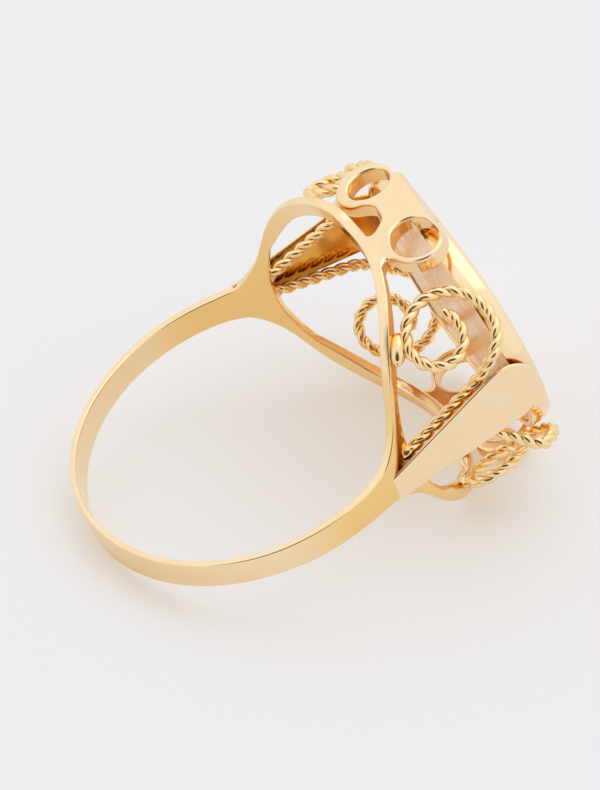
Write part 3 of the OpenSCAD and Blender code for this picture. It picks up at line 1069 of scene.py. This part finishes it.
@dataclass
class Horn:
    """A ram's-horn support on the middle of an arm: two curls on a stem, soldered and filed.

    Places are given for the front arm, and a range on one axis as its two ends.

    Attributes:
        side: The arm it stands on.
        width: Width of its strip.
        step: Spacing of the grid that its surface is found on.
        foot_y: Place of its face at the foot.
        foot_z: Heights between which the face comes out from there to its full place.
        curls: Each curl's centre across and up, and its two half sizes.
        holes: The same for the curls' holes.
        stem: Outline of the stem between the arm and the curls, across and up.
        stem_steps: Points between two rows of that outline.
        curl_fillets: Fillet of each curl on the stem.
        hole_fillet: Radius of the holes' edges.
        edge_fillet: Radius of the face's edges.
        arm_x: Middle and half width of the part of the arm that the stem runs into.
        arm_half_t: Half thickness of the arm there.
        arm_fillet: Fillet of the stem on the arm.
        foot_sink: How far the foot runs into the arm.
        bridge_x: Middle and half width of the solder between the horn and the head's wall.
        bridge_y: Its range along the finger.
        bridge_z: Its lower side.
        bridge_fillet: Fillet of that solder on the horn.
        bevel: Slope of the solder's upper side along the finger and up.
        bevel_z: Height of that side at the horn's face.
        bevel_tilt: How much it rises per millimetre across.
        bevel_fillet: Radius of its edge.
        top_z: Height above which there is no metal.
        grid_x: Half width of the grid.
        grid_z: Range of the grid's heights.
        grid_margin: How far the grid goes beyond the faces.
        nudge: Distance over which a slope is measured.
        rounds: How often the surface's points are moved onto the field's zero.
        most: How far a point may move in one round.
        least_slope: Least square of the slope that a point's move is divided by.
    """

    side: Side
    width: float = 1.0
    step: float = 0.045
    foot_y: float = 7.45
    foot_z: tuple[float, float] = (9.6, 10.6)
    stem_steps: int = 4
    curl_fillets: tuple[float, float] = (0.3, 0.9)
    hole_fillet: float = 0.1
    edge_fillet: float = 0.2
    arm_x: tuple[float, float] = (-1.0, 1.9)
    arm_half_t: float = 0.2
    arm_fillet: float = 0.5
    foot_sink: float = 0.1
    bridge_x: tuple[float, float] = (0.35, 1.6)
    bridge_y: tuple[float, float] = (6.3, 7.1)
    bridge_z: float = 12.0
    bridge_fillet: float = 0.2
    bevel: tuple[float, float] = (0.45, 0.893)
    bevel_z: float = 12.8
    bevel_tilt: float = 0.07
    bevel_fillet: float = 0.15
    top_z: float = 13.2
    grid_x: float = 4.5
    grid_z: tuple[float, float] = (8.7, 13.2)
    grid_margin: float = 0.2
    nudge: float = 0.01
    rounds: int = 3
    most: float = 0.02
    least_slope: float = 0.2
    curls: tuple[tuple[float, ...], ...] = ((2.85, 11.2, 1.36, 1.58), (-2.4, 11.45, 1.8, 1.5))
    holes: tuple[tuple[float, ...], ...] = ((2.66, 11.4, 0.93, 1.13), (-2.4, 11.45, 1.42, 1.2))
    stem: np.ndarray = field(default_factory=lambda: np.array(
        [[-1.25, 13.3], [-1.4, 12.7], [-2.4, 11.4], [-2.25, 10.6], [-2.1, 10.2], [-2.25, 9.8], [-2.4, 9.0],
         [-0.45, 9.0], [-0.45, 9.8], [-0.36, 10.35], [0.1, 10.8], [1.0, 10.9], [1.9, 10.7], [2.3, 12.7],
         [2.05, 13.3], [-1.25, 13.3]]))

    @staticmethod
    def ellipse(x: np.ndarray, z: np.ndarray, row: tuple[float, ...]) -> np.ndarray:
        """Distance to an ellipse, nearly: with f = |p / r| and g = |p / r^2|, it is f (f - 1) / g.

        Args:
            x: Places across the finger.
            z: Places out through the head.
            row: Centre and half sizes.

        Returns:
            The distance, below zero inside.
        """
        u, v = x - row[0], z - row[1]
        f = np.hypot(u / row[2], v / row[3])
        return f * (f - 1) / np.maximum(np.hypot(u / row[2] ** 2, v / row[3] ** 2), 1e-6)

    def field(self, x: np.ndarray, y: np.ndarray, z: np.ndarray) -> np.ndarray:
        """Signed distance to the support's metal, on the front arm.

        In the plane across the finger it is the filleted union of the curls' ellipses and the
        stem, less the holes. It is as thick as the strip is wide, with rounded edges; its face
        falls back to the arm's at the foot, a bevel of solder carries it on to the head's wall,
        and its foot runs into the arm.

        Args:
            x: Places across the finger.
            y: Places along the finger.
            z: Places out through the head.

        Returns:
            The field, below zero inside the metal.
        """
        flat = polygon_field(x, z, curve_through(self.stem, self.stem_steps)[:-1])
        for curl, fillet in zip(self.curls, self.curl_fillets):
            flat = smooth_min(flat, self.ellipse(x, z, curl), fillet)
        out = np.hypot(x, z - SHAPE.shank_rise)
        middle, half = self.arm_x
        arm = np.maximum(np.abs(out - SHAPE.shank_r + self.arm_half_t) - self.arm_half_t,
                         np.abs(x - middle) - half)
        flat = smooth_min(flat, arm, self.arm_fillet)
        for hole in self.holes:
            flat = smooth_max(flat, -self.ellipse(x, z, hole), self.hole_fillet)
        low, high = self.foot_z
        t = np.clip((z - low) / (high - low), 0, 1)
        face = self.foot_y + (SHAPE.horn_face_y - self.foot_y) * t * t * (3 - 2 * t)
        across = np.maximum(y - face, SHAPE.horn_face_y - self.width - y)
        body = smooth_max(flat, across, self.edge_fillet)
        middle, half = self.bridge_x
        back, front = self.bridge_y
        bridge = np.maximum(np.maximum(self.bridge_z - z, np.abs(x - middle) - half),
                            np.maximum(back - y, y - front))
        body = smooth_min(body, bridge, self.bridge_fillet)
        slope_y, slope_z = self.bevel
        bevel = slope_y * (y - SHAPE.horn_face_y) + slope_z * (z - self.bevel_z - self.bevel_tilt * x)
        body = smooth_max(body, np.maximum(bevel, z - self.top_z), self.bevel_fillet)
        return np.maximum(body, SHAPE.shank_r - self.foot_sink - out)

    def build(self) -> None:
        """Finds the metal's surface, settles it on the field and turns it round for the back arm."""
        low = np.array([-self.grid_x, SHAPE.horn_face_y - self.width - self.grid_margin, self.grid_z[0]])
        high = np.array([self.grid_x, SHAPE.horn_face_y + self.grid_margin, self.grid_z[1]])
        axes = [np.arange(a, b, self.step) for a, b in zip(low, high)]
        values = self.field(*np.meshgrid(*axes, indexing="ij"))
        vertices, quads = net_surface(values, low, self.step)
        for _ in range(self.rounds):
            level = self.field(*vertices.T)
            slope = np.stack([(self.field(*(vertices + self.nudge * axis).T)
                               - self.field(*(vertices - self.nudge * axis).T))
                              / (2 * self.nudge) for axis in np.eye(3)], -1)
            size = np.maximum((slope**2).sum(-1), self.least_slope)
            vertices = vertices - np.clip(level / size, -self.most, self.most)[:, None] * slope
        if self.side is Side.LEFT:
            vertices, slope = vertices * [-1, -1, 1], slope * [-1, -1, 1]
        name = "front" if self.side is Side.RIGHT else "back"
        make_piece(f"horn_support_{name}", vertices, quads, FILED, [f"horn_{name}"], unit(slope))


@dataclass
class Scroll:
    """A scroll of two drawn wires twisted together, bent by hand and run down behind a leaf.

    Places are given for the scroll on the front left.

    Attributes:
        side_x: The shoulder that it starts from.
        side_y: The arm that it stands over.
        aside: How far its centre is moved out to its side.
        along: How far its centre is moved out along the finger.
        up: How far its centre is moved up.
        size: Its size over the usual one.
        lean: How far its plane leans back, in degrees.
        turn: How far its plane is turned from across the finger, in degrees.
        leaf_shift: How far its foot is moved with its leaf.
        rope_r: Radius of the rope.
        strand_r: Radius of a strand. Each sinks a little into the other.
        lay: Length of a full turn of the strands.
        small_r: Radius of the inner arc.
        large_r: Radius of the outer arc.
        start: Angle on the inner arc where the rope's free end is.
        join: Angle where the outer arc carries it on.
        leave: Angle where the rope leaves the outer arc.
        centre: The usual centre.
        leaf_top: Where the rope comes to the leaf.
        leaf_foot: Where it ends behind the leaf.
        pull: How far each end's direction carries into the cubic, over its length.
        points: Points on the inner arc, the outer arc, the cubic and the straight run.
        strand_sides: Points round a strand.
        steps_per_lay: Points along a full turn.
        solder_sides: Points round a bead of solder.
        bead_r: Radius of the bead at the foot.
        bead_at: Distance of its middle beyond the rope's end.
        bead_half: Half its length, as an ellipse.
        bead_rings: Rings of points along it.
        puddle_r: Radius of the solder between the rope and its arm.
        puddle_bulge: Power of 1 - t^2 that its radius follows, where a half gives an ellipse.
        puddle_rings: Rings of points along it.
        tips: Where a bead's and a puddle's domes begin, as shares of the half length.
        solder: The puddle's two ends, if there is one.
    """

    side_x: Side
    side_y: Side
    aside: float
    along: float
    up: float
    size: float
    lean: float
    turn: float
    leaf_shift: float
    rope_r: float = 0.335
    strand_r: float = 0.205
    lay: float = 1.46
    small_r: float = 1.39
    large_r: float = 2.2
    start: float = 131.0
    join: float = -110.0
    leave: float = -321.0
    centre: tuple[float, float, float] = (-6.87, 5.08, 9.42)
    leaf_top: tuple[float, float, float] = (-7.62, 1.6, 9.46)
    leaf_foot: tuple[float, float, float] = (-7.88, 0.6, 5.7)
    pull: tuple[float, float] = (0.5, 0.9)
    points: tuple[int, int, int, int] = (120, 160, 80, 40)
    strand_sides: int = 14
    steps_per_lay: int = 22
    solder_sides: int = 20
    bead_r: float = 0.36
    bead_at: float = 0.2
    bead_half: float = 0.5
    bead_rings: int = 14
    puddle_r: float = 0.42
    puddle_bulge: float = 0.4
    puddle_rings: int = 20
    tips: tuple[float, float] = (0.9, 0.97)
    solder: tuple[tuple[float, float, float], tuple[float, float, float]] | None = None

    def route(self) -> np.ndarray:
        """The rope's centre line on the front left, from its free end to the leaf's foot.

        An inner arc about the scroll's centre, a larger arc that carries it on, a cubic with the
        arc's direction at one end and the leaf's at the other, and a straight run behind the leaf.

        Returns:
            Standing points.
        """
        turn, lean = math.radians(self.turn), math.radians(self.lean)
        out = np.array([-math.sin(turn) * math.cos(lean), math.cos(turn) * math.cos(lean), math.sin(lean)])
        rise = np.array([math.sin(turn) * math.sin(lean), -math.cos(turn) * math.sin(lean), math.cos(lean)])
        level = np.cross(rise, out)
        centre = np.array(self.centre) + [-self.aside, self.along, self.up]
        aside = np.array([0.0, self.leaf_shift, 0.0])
        top, end = np.array(self.leaf_top) + aside, np.array(self.leaf_foot) + aside
        small_points, large_points, lead_points, run_points = self.points

        def arc(first: float, last: float, radius: float, count: int) -> np.ndarray:
            """Places in the scroll's plane on a circle about its centre."""
            t = np.radians(np.linspace(first, last, count))
            return radius * np.stack([np.cos(t), np.sin(t)], -1)

        join = math.radians(self.join)
        small = arc(self.start, self.join, self.small_r, small_points)
        large = arc(self.join, self.leave, self.large_r, large_points)[1:]
        large = large + (self.small_r - self.large_r) * np.array([math.cos(join), math.sin(join)])
        flat = self.size * np.vstack([small, large])
        turns = centre + flat[:, :1] * level + flat[:, 1:] * rise
        leave = math.radians(self.leave)
        reach = np.linalg.norm(top - turns[-1])
        v = (math.sin(leave) * level - math.cos(leave) * rise) * reach * self.pull[0]
        w = unit(end - top) * reach * self.pull[1]
        t = np.linspace(0, 1, lead_points)[1:, None]
        lead = ((2 * t**3 - 3 * t**2 + 1) * turns[-1] + (t**3 - 2 * t**2 + t) * v
                + (3 * t**2 - 2 * t**3) * top + (t**3 - t**2) * w)
        run = np.linspace(top, end, run_points)[1:]
        return np.vstack([turns, lead, run])

    def build(self) -> None:
        """Twists two strands round the route, and adds the solder at the foot and by the arm."""
        route = self.route() * [-self.side_x.value, self.side_y.value, 1]
        length = np.linalg.norm(np.diff(route, axis=0), axis=1).sum()
        path = resample(route, int(length / self.lay * self.steps_per_lay))
        s = np.linspace(0, length, len(path))
        _, first, second = frames_along(path, np.array([0.0, 1.0, 0.0]))
        strands = []
        for strand in (0, 1):
            angle = (2 * math.pi * s / self.lay + math.pi * strand)[:, None]
            centre = path + (self.rope_r - self.strand_r) * (np.cos(angle) * first + np.sin(angle) * second)
            strands.append(tube(centre, np.full(len(centre), self.strand_r), self.strand_sides, first[0]))
        bead_tip, puddle_tip = self.tips
        t = np.linspace(-bead_tip, bead_tip, self.bead_rings)
        bead = route[-1] + (self.bead_at + self.bead_half * t[:, None]) * unit(route[-1] - route[-2])
        strands.append(tube(bead, self.bead_r * np.sqrt(1 - t**2), self.solder_sides, first[0]))
        if self.solder:
            low, high = np.array(self.solder)
            t = np.linspace(-puddle_tip, puddle_tip, self.puddle_rings)
            puddle = (low + high + t[:, None] * (high - low)) / 2
            radius = self.puddle_r * (1 - t**2) ** self.puddle_bulge
            strands.append(tube(puddle, radius, self.solder_sides, np.array([0, 1.0, 0])))
        vertices, quads = join_surfaces(strands)
        x, y = self.side_x.name.lower(), "front" if self.side_y is Side.RIGHT else "back"
        make_piece(f"rope_scroll_{y}_{x}", vertices, quads, WIRE, [f"scroll_{y}_{x}"])


# Studio


@dataclass(frozen=True)
class OpalSheet:
    """Translucent acrylic sheet, matt on top: a cool white, with a warm lamp below it.

    Together the two look neutral, and a shadow, which only the lamp lights, is faint and warm.

    Attributes:
        name: The material's name.
        colour: The sheet's own colour.
        glow: Colour of the lamp's light through it.
        strength: Strength of that light.
        roughness: Least and greatest roughness of the matt top.
        grain_mm: Size of the matt top's grain, drawn coarse enough to show.
    """

    name: str = "opal_acrylic_sheet"
    colour: str = "#A8BBCE"
    glow: str = "#BCA994"
    strength: float = 1.0
    roughness: tuple[float, float] = (0.7, 0.8)
    grain_mm: float = 3.0

    def material(self) -> bpy.types.Material:
        """Builds the sheet's material.

        Returns:
            The material.
        """
        made = bpy.data.materials.new(self.name)
        made.use_nodes = True
        tree = made.node_tree
        tree.nodes.clear()
        place = add_node(tree, "ShaderNodeTexCoord").outputs["Object"]
        grain = add_node(tree, "ShaderNodeTexNoise", Vector=place, Scale=1 / (self.grain_mm * MM), Detail=2.0)
        least, most = self.roughness
        rough = add_node(tree, "ShaderNodeMapRange", Value=grain.outputs["Fac"], To_Min=least, To_Max=most)
        sheet = add_node(tree, "ShaderNodeBsdfPrincipled", Base_Color=linear(self.colour),
                         Roughness=rough.outputs["Result"], Emission_Color=linear(self.glow),
                         Emission_Strength=self.strength, Specular_IOR_Level=0.0)
        add_node(tree, "ShaderNodeOutputMaterial", Surface=sheet.outputs["BSDF"])
        return made


@dataclass
class Studio:
    """A pale table in a tent of soft light, and the camera at the photograph's angle.

    Attributes:
        sheet: The table's finish.
        table_half: Half of the table's edge, in metres.
        tent_hex: Colour of the tent's light.
        dome_top: Its strength overhead.
        dome_side: Its strength at the horizon.
        dome_rise: Sine of the height from which it is at its strongest.
        opening: Direction of the middle of the tent's opening.
        opening_deg: Angles from that direction within which the opening is dark, and past which
            the tent is bright.
        opening_light: Light from the opening over the tent's.
        box_away: Distance of a soft box, in metres.
        lens: Focal length, in millimetres.
        sensor: Width of the sensor, in millimetres.
        near: Nearest distance that the camera sees, in metres.
        distance_mm: The camera's distance from what it is aimed at.
        azimuth: Its bearing, 0 on the -Y side and 90 on the +X side.
        elevation: Its height above the horizon, in degrees.
        roll: Its roll, in degrees.
        aim_mm: What it is aimed at.
    """

    sheet: OpalSheet = OpalSheet()
    table_half: float = 4.0
    tent_hex: str = "#FFFFFF"
    dome_top: float = 1.0
    dome_side: float = 0.9
    dome_rise: float = 0.8
    opening: tuple[float, float, float] = (-0.6885, 0.4985, 0.5268)
    opening_deg: tuple[float, float] = (22.0, 38.0)
    opening_light: float = 0.08
    box_away: float = 0.6
    lens: float = 319.0
    sensor: float = 36.0
    near: float = 0.01
    distance_mm: float = 352.68
    azimuth: float = -114.478
    elevation: float = 38.055
    roll: float = 2.198
    aim_mm: tuple[float, float, float] = (-1.0696, 0.4058, 6.3517)

    def table(self) -> None:
        """The plain table, a large flat translucent sheet lit from below."""
        half = self.table_half
        corners = [(-half, -half, 0), (half, -half, 0), (half, half, 0), (-half, half, 0)]
        mesh = bpy.data.meshes.new("table")
        mesh.from_pydata(corners, [], [(0, 1, 2, 3)])
        mesh.materials.append(self.sheet.material())
        table = bpy.data.objects.new("table", mesh)
        bpy.context.scene.collection.objects.link(table)

    def tent(self) -> None:
        """The tent's light: bright overhead, dimmer towards the sides, and dark at the opening.

        A direction's light rises with its height, and is cut down near the opening that the
        camera looks through, by the cosine of its angle from the opening's middle.
        """
        world = bpy.data.worlds.new("tent")
        bpy.context.scene.world = world
        world.use_nodes = True
        tree = world.node_tree
        tree.nodes.clear()
        heading = add_node(tree, "ShaderNodeTexCoord").outputs["Generated"]
        parts = add_node(tree, "ShaderNodeSeparateXYZ", Vector=heading)
        rise = add_node(tree, "ShaderNodeMapRange", Value=parts.outputs["Z"], From_Min=0.0,
                        From_Max=self.dome_rise, To_Min=self.dome_side, To_Max=self.dome_top)
        facing = add_node(tree, "ShaderNodeVectorMath", {"operation": "DOT_PRODUCT"}, _0=heading,
                          _1=self.opening)
        near, far = (math.cos(math.radians(a)) for a in self.opening_deg)
        gate = add_node(tree, "ShaderNodeMapRange", {"interpolation_type": "SMOOTHSTEP"},
                        Value=facing.outputs["Value"], From_Min=far, From_Max=near, To_Min=1.0,
                        To_Max=self.opening_light)
        level = add_node(tree, "ShaderNodeMath", {"operation": "MULTIPLY"}, _0=rise.outputs["Result"],
                         _1=gate.outputs["Result"])
        light = add_node(tree, "ShaderNodeBackground", Color=linear(self.tent_hex),
                         Strength=level.outputs["Value"])
        add_node(tree, "ShaderNodeOutputWorld", Surface=light.outputs["Background"])

    def panel(self, name: str, azimuth: float, elevation: float, size: float, power: float) -> None:
        """A square soft box that faces the ring.

        Args:
            name: The light's name.
            azimuth: Its bearing, 0 on the -Y side and 90 on the +X side.
            elevation: Its height above the horizon, in degrees.
            size: Its edge, in metres.
            power: Its power, in watts.
        """
        light = bpy.data.lights.new(name, "AREA")
        light.shape, light.size, light.energy = "SQUARE", size, power
        panel = bpy.data.objects.new(name, light)
        away = self.bearing(azimuth, elevation)
        panel.matrix_world = self.facing(away * self.box_away, -away, 0.0)
        bpy.context.scene.collection.objects.link(panel)

    @staticmethod
    def bearing(azimuth: float, elevation: float) -> np.ndarray:
        """Direction out from the ring at a bearing and a height, both in degrees."""
        a, e = math.radians(azimuth), math.radians(elevation)
        return np.array([math.sin(a) * math.cos(e), -math.cos(a) * math.cos(e), math.sin(e)])

    @staticmethod
    def facing(place: np.ndarray, forward: np.ndarray, roll: float) -> Matrix:
        """Matrix of a camera or a light.

        Args:
            place: Where it stands.
            forward: Where it looks.
            roll: How far it is rolled, in radians.

        Returns:
            The matrix.
        """
        right = unit(np.cross(forward, [0.0, 0.0, 1.0]))
        up = np.cross(right, forward)
        r = right * math.cos(roll) + up * math.sin(roll)
        u = up * math.cos(roll) - right * math.sin(roll)
        turned = np.eye(4)
        turned[:3, 0], turned[:3, 1], turned[:3, 2], turned[:3, 3] = r, u, -forward, place
        return Matrix(turned.tolist())

    def camera(self) -> None:
        """The camera: a long lens, aimed from its bearing, height and distance."""
        data = bpy.data.cameras.new("camera")
        data.lens, data.sensor_width, data.clip_start = self.lens, self.sensor, self.near
        back = self.bearing(self.azimuth, self.elevation)
        place = MM * (np.array(self.aim_mm) + self.distance_mm * back)
        camera = bpy.data.objects.new("camera", data)
        camera.matrix_world = self.facing(place, -back, math.radians(-self.roll))
        bpy.context.scene.collection.objects.link(camera)
        bpy.context.scene.camera = camera

    def build(self) -> None:
        """Sets the table, the tent, the soft box and the camera."""
        self.table()
        self.tent()
        self.panel("soft_box_over", azimuth=20, elevation=70, size=0.5, power=0.3)
        self.camera()
        bpy.context.scene.view_settings.view_transform = "Standard"


def main() -> None:
    """Builds the ring on its frame and sets the studio, logging each piece's vertex and face counts."""
    logging.basicConfig(level=logging.INFO, format="%(name)s: %(message)s")
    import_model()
    Shank().build()
    Head().build()
    Leaf(Side.LEFT, cant=1.05, shift=0.0, tip_z=13.2).build()
    Leaf(Side.RIGHT, cant=0.0, shift=0.45, tip_z=12.9).build()
    for side in Side:
        Horn(side).build()
    Scroll(Side.LEFT, Side.RIGHT, aside=-0.1, along=0.0, up=0.0, size=1.03, lean=8.0, turn=37.4,
           leaf_shift=0.0, solder=((-7.0, 5.12, 7.1), (-5.75, 5.75, 8.02))).build()
    Scroll(Side.RIGHT, Side.RIGHT, aside=0.1, along=-0.1, up=0.88, size=0.78, lean=8.0, turn=31.0,
           leaf_shift=0.45).build()
    Scroll(Side.LEFT, Side.LEFT, aside=-0.05, along=-0.4, up=0.1, size=1.1, lean=2.0, turn=33.0,
           leaf_shift=0.0, solder=((-6.38, -5.1, 7.62), (-5.42, -5.6, 8.32))).build()
    Scroll(Side.RIGHT, Side.LEFT, aside=-0.15, along=0.1, up=0.34, size=1.0, lean=8.0, turn=37.4,
           leaf_shift=-0.45).build()
    Studio().build()


if __name__ == "__main__":
    main()
